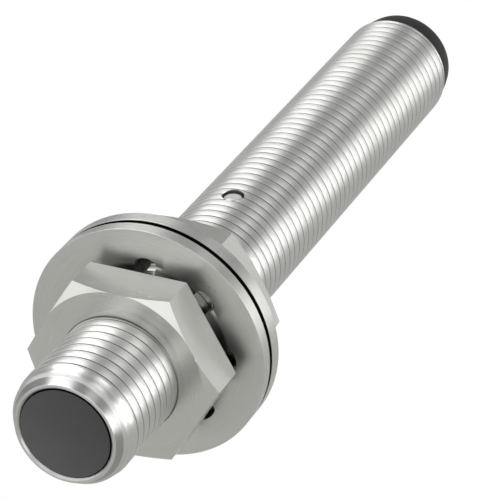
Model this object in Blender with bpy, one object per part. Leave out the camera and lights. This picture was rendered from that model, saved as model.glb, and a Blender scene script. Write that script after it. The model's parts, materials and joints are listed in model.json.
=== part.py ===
"""Cylindrical inductive proximity sensor, M12 barrel, with its two nuts and lock washers.

Frame: metres, +Z up. The barrel's axis is Y. The origin is the centre of the active face,
and +Y runs from the active face towards the connector end. The light guide is on top, at +Z.
All dimensions are in millimetres, and MM turns them into metres.
Front means towards the active face, rear towards the connector end.
"""

import math

import bmesh
import bpy
from mathutils import Vector

MM = 0.001

# ---------------------------------------------------------------- driving dimensions, mm
# Barrel and status light
THREAD_R = 6.0          # the thread is a plain cylinder at its crest radius
BORE_R = 4.8
BARREL_Y0 = 0.3         # the active face stands this far out of the metal rim
BARREL_Y1 = 81.3
LIP_R = 4.52            # narrower opening of the bore round the active face
GUIDE_Y = 37.3
GUIDE_R = 0.95
GUIDE_HOLE_R = 1.1

# Cap and sensing parts
CAP_R = 4.65
CAP_FACE_R = 4.42       # nose of the cap, inside the lip
CAP_WALL = 0.45
CAP_FACE_T = 0.9
CAP_LEN = 9.0
CORE_R = 3.7
CORE_POST_R = 1.6
CORE_WELL_R = 3.25      # outside of the ring-shaped well for the coil
CORE_WELL_Y = 3.6       # floor of that well
CORE_Y0, CORE_Y1 = 1.2, 4.6
BOBBIN_BORE_R, BOBBIN_TUBE_R, BOBBIN_FLANGE_R = 1.75, 2.05, 3.1
BOBBIN_Y0, BOBBIN_Y1 = 1.35, 3.4
BOBBIN_FLANGE_T = 0.2
COIL_R, COIL_VALLEY_R, COIL_RIDGE_R = 2.15, 2.92, 3.02
COIL_Y0, COIL_Y1 = 1.62, 3.12
COIL_RIDGES, RIDGE_Y0, RIDGE_PITCH = 4, 1.66, 0.36
SHIELD_BORE_R, SHIELD_R = 3.82, 4.1
SHIELD_Y0, SHIELD_Y1 = 1.1, 6.2
HOLDER_Y0, HOLDER_Y1 = 4.75, 8.8
LEAD_X, LEAD_Z, LEAD_R = 2.2, 0.95, 0.15
LEAD_HOLE_R = 0.33
RING_CORD_R = 0.27      # both round-section seal rings
FRONT_RING_R, FRONT_RING_Y = 4.43, 9.42
REAR_RING_R = 4.44

# Circuit board
BOARD_T = 0.8
BOARD_HALF_W = 3.8
TONGUE_HALF_W = 2.6
BOARD_Y0, BOARD_STEP_Y, BOARD_Y1 = 7.1, 9.4, 62.0
BOARD_TOP = BOARD_T / 2
MOUNT_Z = BOARD_TOP + 0.05      # plane the components stand on

# Connector end
INSERT_R = 4.65
INSERT_Y0 = 73.4
INSERT_FLANGE_Y = 81.4
INSERT_END_Y = 84.5
INSERT_FLANGE_R, INSERT_END_R = 5.72, 5.16
GROOVE_R, GROOVE_Y0, GROOVE_Y1 = 4.12, 74.6, 75.4
RECESS_R, RECESS_Y = 3.95, 76.6
PIN_R, PIN_OFFSET = 0.5, 1.65
WIRE_R = 0.45
PLUG_Y0, PLUG_Y1 = 67.2, 70.2

# Nuts, lock washers and the flat seal between them
NUT_AF = 17.0           # across flats
NUT_BORE_R = 6.08       # runs on the crest cylinder
NUT_FACE_R = 8.4        # flat circle inside the corner chamfer
NUT_CHAMFER_DEG = 30.0
FRONT_NUT_Y0, FRONT_NUT_Y1 = 11.2, 15.75    # chamfered side, flat side
REAR_NUT_Y0, REAR_NUT_Y1 = 22.15, 26.7      # flat side, chamfered side
WASHER_R = 12.0
WASHER_BORE_R = 8.6
WASHER_EDGE = 0.12      # chamfer of the outer rim
WASHER_NOTCH = 0.55     # depth of the round notch between two teeth
WASHER_TIP_R = 6.5
WASHER_TEETH = 8
TOOTH_HALF_DEG = 15.0
TOOTH_RISE = 1.25       # how far the high corner of a twisted tooth stands out of the ring
TOOTH_RISE_POWER = 1.2  # shape of that rise from root to tip
TOOTH_THINNING = 0.12   # taken off each face at the tip
FRONT_WASHER_Y0, FRONT_WASHER_Y1 = 17.25, 18.6
REAR_WASHER_Y0, REAR_WASHER_Y1 = 19.2, 20.65
SEAL_R, SEAL_BORE_R = 11.92, 9.4
SEAL_Y0, SEAL_Y1 = 18.65, 19.15

# Edges that bend by more than this are shaded sharp, degrees
SHARP_DEG = 35.0
METAL_SHARP_DEG = 25.0
ROUND_SHARP_DEG = 60.0

# ---------------------------------------------------------------- materials
NUT_COLOUR = (0.58, 0.57, 0.53)
WASHER_COLOUR = (0.56, 0.56, 0.53)

MATERIALS = {           # name: (base colour, roughness, metallic)
    "nickel_barrel": ((0.60, 0.59, 0.55), 0.30, 1.0),
    "nickel_front_nut": (NUT_COLOUR, 0.33, 1.0),
    "nickel_rear_nut": (NUT_COLOUR, 0.33, 1.0),
    "steel_front_washer": (WASHER_COLOUR, 0.38, 1.0),
    "steel_rear_washer": (WASHER_COLOUR, 0.38, 1.0),
    "black_rubber": ((0.012, 0.012, 0.012), 0.7, 0.0),
    "dark_face_plastic": ((0.055, 0.052, 0.052), 0.25, 0.0),
    "black_connector_plastic": ((0.02, 0.02, 0.021), 0.42, 0.0),
    "gold_contact": ((0.83, 0.62, 0.25), 0.25, 1.0),
    "light_guide_plastic": ((0.62, 0.64, 0.62), 0.12, 0.0),
    "ferrite": ((0.06, 0.06, 0.065), 0.6, 0.0),
    "bobbin_plastic": ((0.75, 0.72, 0.62), 0.5, 0.0),
    "enamelled_copper": ((0.62, 0.25, 0.10), 0.3, 1.0),
    "brass_shield": ((0.70, 0.55, 0.28), 0.3, 1.0),
    "holder_plastic": ((0.10, 0.10, 0.11), 0.5, 0.0),
    "nitrile_rubber": ((0.02, 0.02, 0.02), 0.65, 0.0),
    "board_laminate": ((0.02, 0.18, 0.07), 0.4, 0.0),
    "chip_epoxy": ((0.03, 0.03, 0.03), 0.5, 0.0),
    "transistor_epoxy": ((0.035, 0.035, 0.035), 0.5, 0.0),
    "diode_epoxy": ((0.05, 0.05, 0.05), 0.45, 0.0),
    "resistor_ceramic": ((0.08, 0.08, 0.10), 0.5, 0.0),
    "capacitor_ceramic": ((0.45, 0.33, 0.22), 0.5, 0.0),
    "led_resin": ((0.80, 0.62, 0.10), 0.2, 0.0),
    "potting_resin": ((0.04, 0.04, 0.045), 0.35, 0.0),
    "wire_brown": ((0.20, 0.09, 0.04), 0.5, 0.0),
    "wire_black": ((0.02, 0.02, 0.02), 0.5, 0.0),
    "wire_blue": ((0.03, 0.12, 0.42), 0.5, 0.0),
}


def make_material(name, colour, roughness, metallic):
    mat = bpy.data.materials.new(name)
    mat.use_nodes = True
    inputs = mat.node_tree.nodes["Principled BSDF"].inputs
    inputs["Base Color"].default_value = (*colour, 1.0)
    inputs["Roughness"].default_value = roughness
    inputs["Metallic"].default_value = metallic
    return mat


# ---------------------------------------------------------------- objects
def add(name, bm, mat, sharp_deg=SHARP_DEG, origin_y=0.0):
    """Turn a bmesh in mm into an object in metres, with its origin on the axis at origin_y (mm)."""
    bmesh.ops.recalc_face_normals(bm, faces=bm.faces)
    bmesh.ops.translate(bm, vec=(0.0, -origin_y, 0.0), verts=bm.verts)
    bmesh.ops.scale(bm, vec=(MM, MM, MM), verts=bm.verts)
    mesh = bpy.data.meshes.new(name)
    bm.to_mesh(mesh)
    bm.free()
    mesh.shade_smooth()
    mesh.set_sharp_from_angle(angle=math.radians(sharp_deg))
    obj = bpy.data.objects.new(name, mesh)
    obj.location = (0.0, origin_y * MM, 0.0)
    bpy.context.scene.collection.objects.link(obj)
    if mat is not None:
        mesh.materials.append(materials[mat])
    return obj


def helper(name, bm):
    """Hidden tool for a boolean."""
    obj = add(name, bm, None)
    obj.hide_render = True
    obj.display_type = "WIRE"
    return obj


def boolean(obj, tool, operation="DIFFERENCE"):
    mod = obj.modifiers.new(tool.name, "BOOLEAN")
    mod.operation = operation
    mod.object = tool
    mod.solver = "EXACT"


# ---------------------------------------------------------------- shapes
def bridge(bm, first, second, closed=True):
    """Quads between two rows of vertices, closed into a loop or left open."""
    count = len(first)
    for k in range(count if closed else count - 1):
        n = (k + 1) % count
        bm.faces.new((first[k], first[n], second[n], second[k]))


def lathe(profile, segments, axis="Y", centre=(0.0, 0.0)):
    """Solid of revolution. profile is a closed loop of (radius, height) with no repeated end point.
    A point of radius 0 closes its neighbour with a flat disc. centre is (x, z) for axis Y
    and (x, y) for axis Z."""
    bm = bmesh.new()
    rings = []
    for radius, height in profile:
        if radius <= 0.0:
            rings.append(None)
            continue
        ring = []
        for k in range(segments):
            angle = 2.0 * math.pi * k / segments
            across = radius * math.cos(angle) + centre[0]
            along = radius * math.sin(angle) + centre[1]
            place = (across, height, along) if axis == "Y" else (across, along, height)
            ring.append(bm.verts.new(place))
        rings.append(ring)
    for this, following in zip(rings, rings[1:] + rings[:1]):
        if this and following:
            bridge(bm, this, following)
        elif this or following:
            bm.faces.new(this or following)
    return bm


def cylinder(radius, start, end, segments, bore=0.0, axis="Y", centre=(0.0, 0.0)):
    profile = [(bore, start), (radius, start), (radius, end), (bore, end)]
    return lathe(profile, segments, axis, centre)


def add_box(bm, low, high):
    """Box between two opposite corners."""
    low, high = Vector(low), Vector(high)
    made = bmesh.ops.create_cube(bm, size=1.0)["verts"]
    bmesh.ops.scale(bm, vec=high - low, verts=made)
    bmesh.ops.translate(bm, vec=(low + high) / 2, verts=made)


def box(low, high, bevel=0.0):
    bm = bmesh.new()
    add_box(bm, low, high)
    if bevel:
        bmesh.ops.bevel(
            bm, geom=bm.edges[:], offset=bevel, segments=1, affect="EDGES", clamp_overlap=True
        )
    return bm


def add_prism(bm, low_outline, high_outline):
    """Solid between two matching outlines."""
    low = [bm.verts.new(point) for point in low_outline]
    high = [bm.verts.new(point) for point in high_outline]
    bm.faces.new(low)
    bm.faces.new(high)
    bridge(bm, low, high)


def cord_ring(major, y, around=8):
    """Ring of round section, centred on the barrel's axis."""
    profile = []
    for k in range(around):
        angle = 2 * math.pi * k / around
        profile.append((major + RING_CORD_R * math.cos(angle), y + RING_CORD_R * math.sin(angle)))
    return lathe(profile, 30)


def sweep(points, radius, around=8):
    """Round wire along a polyline, closed at both ends."""
    bm = bmesh.new()
    steps = [(end - start).normalized() for start, end in zip(points, points[1:])]
    rings = []
    side = Vector((1.0, 0.0, 0.0))
    for point, before, after in zip(points, steps[:1] + steps, steps + steps[-1:]):
        tangent = (before + after).normalized()
        side = (side - tangent * side.dot(tangent)).normalized()
        other = tangent.cross(side)
        # widened at a bend so that the wire keeps its thickness
        widen = 1.0 / max(0.7, math.cos(before.angle(after) / 2.0))
        ring = []
        for k in range(around):
            angle = 2 * math.pi * k / around
            offset = side * (radius * math.cos(angle))
            offset += other * (radius * widen * math.sin(angle))
            ring.append(bm.verts.new(point + offset))
        rings.append(ring)
    for this, following in zip(rings, rings[1:]):
        bridge(bm, this, following)
    bm.faces.new(rings[0])
    bm.faces.new(rings[-1])
    return bm


def smooth_path(corners, cut, steps=3):
    """The polyline with each inner corner rounded, starting at the distance cut from it."""
    corners = [Vector(corner) for corner in corners]
    path = [corners[0]]
    for previous, corner, following in zip(corners, corners[1:], corners[2:]):
        start = corner + (previous - corner).normalized() * cut
        end = corner + (following - corner).normalized() * cut
        for i in range(steps + 1):
            t = i / steps
            path.append(start * (1 - t) ** 2 + corner * (2 * t * (1 - t)) + end * t**2)
    path.append(corners[-1])
    return path


# ---------------------------------------------------------------- barrel and status light
def build_barrel():
    profile = [         # (radius, y): outside from front to rear, then back along the bore
        (4.76, BARREL_Y0), (4.84, BARREL_Y0 + 0.03), (5.5, BARREL_Y0 + 0.7),
        (5.86, BARREL_Y0 + 1.25), (THREAD_R, BARREL_Y0 + 1.75),
        (THREAD_R, BARREL_Y1 - 0.3), (THREAD_R - 0.09, BARREL_Y1 - 0.09),
        (THREAD_R - 0.3, BARREL_Y1),
        (BORE_R + 0.1, BARREL_Y1), (BORE_R, BARREL_Y1 - 0.1), (BORE_R, BARREL_Y0 + 0.75),
        (LIP_R, BARREL_Y0 + 0.6), (LIP_R, BARREL_Y0 + 0.13),
    ]
    barrel = add("barrel", lathe(profile, 48), "nickel_barrel", METAL_SHARP_DEG)
    hole = cylinder(GUIDE_HOLE_R, 3.0, 8.0, 20, axis="Z", centre=(0.0, GUIDE_Y))
    boolean(barrel, helper("guide_hole_cutter", hole))


def build_light_guide():
    profile = [         # (radius, z)
        (0, 1.75), (1.5, 1.75), (1.5, 2.2), (GUIDE_R, 2.4),
        (GUIDE_R, 5.45), (0.82, 5.62), (0.45, 5.72), (0, 5.72),
    ]
    add("light_guide", lathe(profile, 20, "Z", (0.0, GUIDE_Y)), "light_guide_plastic")


def build_status_led():
    """Block with a domed lens on top, as one solid."""
    half_x, half_y, height = 1.0, 0.65, 0.5
    lens_r, lens_base, lens_rise = 0.5, MOUNT_Z + 0.55, 0.45
    low = (-half_x, GUIDE_Y - half_y, MOUNT_Z)
    high = (half_x, GUIDE_Y + half_y, MOUNT_Z + height)
    led = add("status_led", box(low, high, bevel=0.06), "led_resin")
    profile = [(0, MOUNT_Z + 0.3), (lens_r, MOUNT_Z + 0.3)]
    for degrees in (0, 30, 60):
        angle = math.radians(degrees)
        profile.append((lens_r * math.cos(angle), lens_base + lens_rise * math.sin(angle)))
    profile += [(0.12, MOUNT_Z + 0.99), (0, MOUNT_Z + 0.99)]
    dome = lathe(profile, 16, "Z", (0.0, GUIDE_Y))
    boolean(led, helper("led_dome_union", dome), "UNION")


# ---------------------------------------------------------------- active end
def build_cap():
    inner_r = CAP_R - CAP_WALL
    profile = [         # (radius, y)
        (0, 0), (CAP_FACE_R - 0.06, 0), (CAP_FACE_R, 0.07), (CAP_FACE_R, 1.0), (CAP_R, 1.15),
        (CAP_R, CAP_LEN), (inner_r, CAP_LEN), (inner_r, CAP_FACE_T), (0, CAP_FACE_T),
    ]
    add("sensing_face_cap", lathe(profile, 36), "dark_face_plastic")


def build_coil():
    flange_y0 = BOBBIN_Y0 + BOBBIN_FLANGE_T
    flange_y1 = BOBBIN_Y1 - BOBBIN_FLANGE_T
    bobbin = [          # (radius, y)
        (BOBBIN_BORE_R, BOBBIN_Y0), (BOBBIN_FLANGE_R, BOBBIN_Y0), (BOBBIN_FLANGE_R, flange_y0),
        (BOBBIN_TUBE_R, flange_y0), (BOBBIN_TUBE_R, flange_y1), (BOBBIN_FLANGE_R, flange_y1),
        (BOBBIN_FLANGE_R, BOBBIN_Y1), (BOBBIN_BORE_R, BOBBIN_Y1),
    ]
    add("coil_bobbin", lathe(bobbin, 20), "bobbin_plastic")

    winding = [(COIL_R, COIL_Y0)]
    for i in range(COIL_RIDGES):        # the turns of wire show as ridges
        y = RIDGE_Y0 + RIDGE_PITCH * i
        winding += [(COIL_VALLEY_R, y), (COIL_RIDGE_R, y + RIDGE_PITCH / 2)]
    winding.append((COIL_VALLEY_R, RIDGE_Y0 + RIDGE_PITCH * COIL_RIDGES - 0.02))
    winding.append((COIL_R, COIL_Y1))
    add("coil_winding", lathe(winding, 20), "enamelled_copper", ROUND_SHARP_DEG)


def build_core():
    profile = [         # (radius, y): the well opens towards the active face
        (0, CORE_Y0), (CORE_POST_R, CORE_Y0), (CORE_POST_R, CORE_WELL_Y),
        (CORE_WELL_R, CORE_WELL_Y), (CORE_WELL_R, CORE_Y0), (CORE_R, CORE_Y0),
        (CORE_R, CORE_Y1), (0, CORE_Y1),
    ]
    return add("ferrite_core", lathe(profile, 32), "ferrite")


def build_holder():
    """Disc behind the core, slotted for the tongue of the board."""
    holder = add("core_holder", cylinder(CORE_R, HOLDER_Y0, HOLDER_Y1, 32), "holder_plastic")
    half_w = TONGUE_HALF_W + 0.2
    half_t = BOARD_T / 2 + 0.12
    slot = box((-half_w, 6.9, -half_t), (half_w, 10.0, half_t))
    boolean(holder, helper("board_slot_cutter", slot))
    return holder


def build_leads(core, holder):
    """Two coil leads that run through the core and the holder and come down onto the board."""
    board_z = BOARD_TOP + LEAD_R + 0.04
    for tag, x in (("1", -LEAD_X), ("2", LEAD_X)):
        hole = cylinder(LEAD_HOLE_R, 3.0, 10.0, 12, centre=(x, LEAD_Z))
        tool = helper("lead_hole_cutter_" + tag, hole)
        boolean(core, tool)
        boolean(holder, tool)
        corners = [(x, 3.55, LEAD_Z), (x, 9.6, LEAD_Z), (x, 10.3, board_z), (x, 11.4, board_z)]
        wire = sweep(smooth_path(corners, 0.25), LEAD_R)
        add("coil_lead_" + tag, wire, "enamelled_copper", ROUND_SHARP_DEG)


def build_active_end():
    build_cap()
    build_coil()
    shield = cylinder(SHIELD_R, SHIELD_Y0, SHIELD_Y1, 32, bore=SHIELD_BORE_R)
    add("shield_ring", shield, "brass_shield")
    build_leads(build_core(), build_holder())
    ring = cord_ring(FRONT_RING_R, FRONT_RING_Y)
    add("front_seal_ring", ring, "nitrile_rubber", ROUND_SHARP_DEG)


# ---------------------------------------------------------------- circuit board
def build_board():
    outline = [         # (x, y): a narrow tongue at the front
        (-TONGUE_HALF_W, BOARD_Y0), (TONGUE_HALF_W, BOARD_Y0),
        (TONGUE_HALF_W, BOARD_STEP_Y), (BOARD_HALF_W, BOARD_STEP_Y),
        (BOARD_HALF_W, BOARD_Y1), (-BOARD_HALF_W, BOARD_Y1),
        (-BOARD_HALF_W, BOARD_STEP_Y), (-TONGUE_HALF_W, BOARD_STEP_Y),
    ]
    bm = bmesh.new()
    low, high = ([(x, y, z) for x, y in outline] for z in (-BOARD_TOP, BOARD_TOP))
    add_prism(bm, low, high)
    add("circuit_board", bm, "board_laminate")


LEGGED_CHIPS = [
    # name, material, y, half width, half length, height,
    # legs per side, leg pitch, leg width, reach of the legs
    ("sensor_ic", "chip_epoxy", 18.5, 1.95, 2.45, 1.55, 4, 1.27, 0.42, 0.9),
    ("output_transistor", "transistor_epoxy", 29.0, 1.4, 1.6, 1.4, 2, 1.9, 0.5, 0.8),
    ("protection_diode", "diode_epoxy", 46.0, 1.3, 1.2, 1.9, 1, 1.0, 1.4, 0.8),
]


def build_legged_chip(name, mat, y, half_w, half_l, height, legs, pitch, leg_w, reach):
    """Moulded body with bent legs along both long sides, as one solid."""
    low = (-half_w, y - half_l, MOUNT_Z + 0.12)
    high = (half_w, y + half_l, MOUNT_Z + height)
    body = add(name, box(low, high, bevel=0.12), mat)
    leg = [             # (distance out from the body's side, height above the mounting plane)
        (-0.25, 0.75), (0.3, 0.75), (0.42, 0.18), (reach, 0.18),
        (reach, 0.0), (0.27, 0.0), (0.15, 0.57), (-0.25, 0.57),
    ]
    bm = bmesh.new()
    for side in (-1, 1):
        for k in range(legs):
            leg_y = y + (k - (legs - 1) / 2) * pitch
            faces = [
                [(side * (half_w + out), face_y, MOUNT_Z + z) for out, z in leg]
                for face_y in (leg_y - leg_w / 2, leg_y + leg_w / 2)
            ]
            add_prism(bm, *faces)
    boolean(body, helper(name + "_legs", bm), "UNION")


CHIP_PARTS = [          # name, material, x, y, length along X, width along Y, height
    ("resistor_1", "resistor_ceramic", -1.9, 24.0, 2.0, 1.25, 0.5),
    ("resistor_2", "resistor_ceramic", 1.9, 24.0, 2.0, 1.25, 0.5),
    ("capacitor_1", "capacitor_ceramic", 0.0, 52.0, 3.2, 1.6, 1.2),
    ("capacitor_2", "capacitor_ceramic", 0.0, 13.4, 2.4, 1.3, 0.9),
]


def build_chip_part(name, mat, x, y, length, width, height):
    """Ceramic block with slightly thicker ends, as one solid."""
    end_len, proud, below = 0.4, 0.04, 0.03
    low = (x - length / 2, y - width / 2, MOUNT_Z)
    high = (x + length / 2, y + width / 2, MOUNT_Z + height)
    body = add(name, box(low, high, bevel=0.06), mat)
    bm = bmesh.new()
    for side in (-1, 1):
        end = x + side * length / 2
        x0, x1 = sorted((end - side * end_len, end + side * proud))
        add_box(
            bm,
            (x0, y - width / 2 - proud, MOUNT_Z - below),
            (x1, y + width / 2 + proud, MOUNT_Z + height + proud),
        )
    boolean(body, helper(name + "_ends", bm), "UNION")


# ---------------------------------------------------------------- connector end
PINS = [                # (x, z) of pins 1 to 4
    (PIN_OFFSET, PIN_OFFSET), (-PIN_OFFSET, PIN_OFFSET),
    (-PIN_OFFSET, -PIN_OFFSET), (PIN_OFFSET, -PIN_OFFSET),
]
WIRES = [               # name, material, x on the board, pin number
    ("supply_wire", "wire_brown", -2.3, 2),
    ("output_wire", "wire_black", 0.0, 1),
    ("ground_wire", "wire_blue", 2.3, 4),
]


def build_insert():
    profile = [         # (radius, y): outside from front to rear, then into the recess
        (0, INSERT_Y0), (INSERT_R, INSERT_Y0),
        (INSERT_R, GROOVE_Y0), (GROOVE_R, GROOVE_Y0), (GROOVE_R, GROOVE_Y1), (INSERT_R, GROOVE_Y1),
        (INSERT_R, INSERT_FLANGE_Y), (INSERT_FLANGE_R - 0.06, INSERT_FLANGE_Y),
        (INSERT_FLANGE_R, INSERT_FLANGE_Y + 0.08), (5.6, 83.2), (5.44, 84.05),
        (INSERT_END_R, 84.4), (INSERT_END_R - 0.3, INSERT_END_Y),
        (RECESS_R + 0.12, INSERT_END_Y), (RECESS_R, INSERT_END_Y - 0.12),
        (RECESS_R, RECESS_Y), (0, RECESS_Y),
    ]
    insert = add(
        "connector_insert", lathe(profile, 36), "black_connector_plastic", METAL_SHARP_DEG
    )
    # key rib at the bottom of the recess wall
    key = box((-0.55, RECESS_Y - 0.3, -RECESS_R - 0.3), (0.55, 83.9, -RECESS_R + 0.75))
    boolean(insert, helper("key_union", key), "UNION")
    pin = [             # (radius, y)
        (0, 73.0), (0.4, 73.0), (PIN_R, 73.15), (PIN_R, 82.4),
        (0.42, 82.8), (0.22, 83.0), (0, 83.0),
    ]
    for number, centre in enumerate(PINS, start=1):
        hole = cylinder(PIN_R + 0.06, 72.0, 78.0, 12, centre=centre)
        boolean(insert, helper(f"pin_hole_cutter_{number}", hole))
        add(f"contact_pin_{number}", lathe(pin, 12, centre=centre), "gold_contact")
    ring = cord_ring(REAR_RING_R, (GROOVE_Y0 + GROOVE_Y1) / 2)
    add("rear_seal_ring", ring, "nitrile_rubber", ROUND_SHARP_DEG)


def build_plug_and_wires():
    """Potting plug, and the wires that run through it from the board to the pins."""
    plug = add("potting_plug", cylinder(INSERT_R, PLUG_Y0, PLUG_Y1, 32), "potting_resin")
    hole_profile = [(0, 66.0), (WIRE_R + 0.1, 66.0), (WIRE_R + 0.12, 71.5), (0, 71.5)]
    board_z = BOARD_TOP + WIRE_R + 0.05
    for name, mat, board_x, pin in WIRES:
        x, z = PINS[pin - 1]
        hole = lathe(hole_profile, 10, centre=(x, z))
        boolean(plug, helper(name + "_hole_cutter", hole))
        corners = [(board_x, 57.5, board_z), (board_x, 62.5, board_z), (x, 66.4, z), (x, 72.8, z)]
        add(name, sweep(smooth_path(corners, 0.45), WIRE_R), mat, ROUND_SHARP_DEG)


# ---------------------------------------------------------------- nuts, lock washers and seal
def nut(y_flat, y_chamfer):
    """Hexagon nut with corners chamfered on one side only. Corners lie at 0, 60, 120... degrees."""
    out = 1.0 if y_chamfer > y_flat else -1.0
    slope = math.tan(math.radians(NUT_CHAMFER_DEG))
    segments = 48
    bm = bmesh.new()
    sections = []
    for k in range(segments):
        angle = 2.0 * math.pi * k / segments
        reach = (NUT_AF / 2) / math.cos((angle % (math.pi / 3)) - math.pi / 6)
        section = [     # (radius, y)
            (NUT_BORE_R, y_flat + out * 0.25),
            (NUT_BORE_R + 0.25, y_flat),
            (reach, y_flat),
            (reach, y_chamfer - out * (reach - NUT_FACE_R) * slope),
            (NUT_FACE_R, y_chamfer),
            (NUT_BORE_R + 0.35, y_chamfer),
            (NUT_BORE_R, y_chamfer - out * 0.4),
        ]
        cos, sin = math.cos(angle), math.sin(angle)
        sections.append([bm.verts.new((r * cos, y, r * sin)) for r, y in section])
    for this, following in zip(sections, sections[1:] + sections[:1]):
        bridge(bm, this, following)
    return bm


def washer(y0, y1, rise):
    """Internal-tooth lock washer. rise is how far a tooth's high corner is lifted along Y."""
    steps = 4           # columns across a notch, and across a tooth
    levels = 3          # rows from a tooth's root to its tip
    pitch = 360.0 / WASHER_TEETH
    notch_half = pitch / 2 - TOOTH_HALF_DEG
    bm = bmesh.new()

    def vertex(radius, degrees, y):
        angle = math.radians(degrees)
        return bm.verts.new((radius * math.cos(angle), y, radius * math.sin(angle)))

    def tooth_angle(tooth, share):
        return pitch * (tooth + 0.5) + (2.0 * share - 1.0) * TOOTH_HALF_DEG

    columns = []        # (degrees, inner radius); notches are centred on multiples of the pitch
    for tooth in range(WASHER_TEETH):
        for i in range(steps):
            u = -1.0 + 2.0 * i / steps
            radius = WASHER_BORE_R + WASHER_NOTCH * math.sqrt(1 - u * u)
            columns.append((pitch * tooth + u * notch_half, radius))
        for i in range(steps):
            columns.append((tooth_angle(tooth, i / steps), WASHER_BORE_R))

    def face(face_y, inward):
        """One face of the washer: its ring of columns, and the lines of each tooth."""
        ring = [
            [
                vertex(inner_r, degrees, face_y),
                vertex(WASHER_R - WASHER_EDGE, degrees, face_y),
                vertex(WASHER_R, degrees, face_y + inward * WASHER_EDGE),
            ]
            for degrees, inner_r in columns
        ]
        for this, following in zip(ring, ring[1:] + ring[:1]):
            bridge(bm, this, following, closed=False)
        teeth = []
        for tooth in range(WASHER_TEETH):
            lines = []
            for i in range(steps + 1):
                # the last line of a tooth starts from the first column of the next notch
                line = [ring[((2 * tooth + 1) * steps + i) % len(ring)][0]]
                for level in range(1, levels + 1):
                    f = level / levels
                    radius = WASHER_BORE_R + (WASHER_TIP_R - WASHER_BORE_R) * f
                    lift = rise * i / steps * f**TOOTH_RISE_POWER
                    y = face_y + lift + inward * TOOTH_THINNING * f
                    line.append(vertex(radius, tooth_angle(tooth, i / steps), y))
                lines.append(line)
            for this, following in zip(lines, lines[1:]):
                bridge(bm, this, following, closed=False)
            teeth.append(lines)
        return ring, teeth

    low_ring, low_teeth = face(y0, 1)
    high_ring, high_teeth = face(y1, -1)
    # outer rim, then the inner wall of each notch
    bridge(bm, [column[2] for column in low_ring], [column[2] for column in high_ring])
    for tooth in range(WASHER_TEETH):
        start = 2 * steps * tooth
        notch = slice(start, start + steps + 1)
        low_wall, high_wall = ([col[0] for col in ring[notch]] for ring in (low_ring, high_ring))
        bridge(bm, low_wall, high_wall, closed=False)
    # sides and tip of each tooth
    for low, high in zip(low_teeth, high_teeth):
        for i in (0, steps):
            bridge(bm, low[i], high[i], closed=False)
        bridge(bm, [line[-1] for line in low], [line[-1] for line in high], closed=False)
    return bm


def build_fasteners():
    fasteners = [       # name, shape, material, y of the origin
        ("front_nut", nut(FRONT_NUT_Y1, FRONT_NUT_Y0), "nickel_front_nut", FRONT_NUT_Y1),
        ("front_lock_washer", washer(FRONT_WASHER_Y0, FRONT_WASHER_Y1, -TOOTH_RISE),
         "steel_front_washer", FRONT_WASHER_Y1),
        ("rear_lock_washer", washer(REAR_WASHER_Y0, REAR_WASHER_Y1, TOOTH_RISE),
         "steel_rear_washer", REAR_WASHER_Y0),
        ("rear_nut", nut(REAR_NUT_Y0, REAR_NUT_Y1), "nickel_rear_nut", REAR_NUT_Y0),
    ]
    for name, shape, mat, origin_y in fasteners:
        add(name, shape, mat, METAL_SHARP_DEG, origin_y)
    seal = cylinder(SEAL_R, SEAL_Y0, SEAL_Y1, 44, bore=SEAL_BORE_R)
    add("seal_ring", seal, "black_rubber", origin_y=SEAL_Y1)


# ---------------------------------------------------------------- build
for old in list(bpy.data.objects):
    bpy.data.objects.remove(old, do_unlink=True)

materials = {name: make_material(name, *look) for name, look in MATERIALS.items()}
build_barrel()
build_active_end()
build_board()
for chip in LEGGED_CHIPS:
    build_legged_chip(*chip)
for part in CHIP_PARTS:
    build_chip_part(*part)
build_status_led()
build_light_guide()
build_insert()
build_plug_and_wires()
build_fasteners()
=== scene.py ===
"""Cylindrical threaded sensor with two nuts, two lock washers and a plug connector.

The barrel lies along Y: the active face is at its low-Y (front) end, the connector at its
high-Y (rear) end, and the light guide looks up (+Z). Shapes are drawn in millimetres.
"""
import json
import math
from collections import namedtuple

import bmesh
import bpy
from mathutils import Matrix, Vector


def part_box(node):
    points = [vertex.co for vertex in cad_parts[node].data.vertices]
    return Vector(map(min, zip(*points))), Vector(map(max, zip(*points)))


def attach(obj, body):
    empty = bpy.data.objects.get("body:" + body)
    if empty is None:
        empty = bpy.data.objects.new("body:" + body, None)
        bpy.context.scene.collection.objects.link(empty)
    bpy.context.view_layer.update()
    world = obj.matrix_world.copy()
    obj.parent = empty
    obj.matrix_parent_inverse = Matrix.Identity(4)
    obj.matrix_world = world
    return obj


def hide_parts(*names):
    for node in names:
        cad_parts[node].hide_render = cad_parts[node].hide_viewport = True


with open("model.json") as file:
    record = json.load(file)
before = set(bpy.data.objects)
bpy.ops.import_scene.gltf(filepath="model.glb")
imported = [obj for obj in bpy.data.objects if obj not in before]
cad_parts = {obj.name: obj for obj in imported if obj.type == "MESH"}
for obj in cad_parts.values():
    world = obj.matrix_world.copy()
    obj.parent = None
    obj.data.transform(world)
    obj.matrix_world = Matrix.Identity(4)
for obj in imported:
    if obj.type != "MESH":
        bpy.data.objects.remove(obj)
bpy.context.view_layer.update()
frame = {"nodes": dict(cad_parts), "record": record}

MM = 0.001


# =====================================================================================
# sizes and places read from the CAD pieces, in millimetres
# =====================================================================================
def span(node):
    low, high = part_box(node)
    return low / MM, high / MM


def y_span(node):
    low, high = span(node)
    return low.y, high.y


def radii_of(node):
    """Distance of each of the node's vertices from the Y axis."""
    return [math.hypot(v.co.x / MM, v.co.z / MM) for v in frame["nodes"][node].data.vertices]


Pin = namedtuple("Pin", "x z start end radius")


def pin_place(node):
    low, high = span(node)
    return Pin((low.x + high.x) / 2, (low.z + high.z) / 2, low.y, high.y, (high.x - low.x) / 2)


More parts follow.
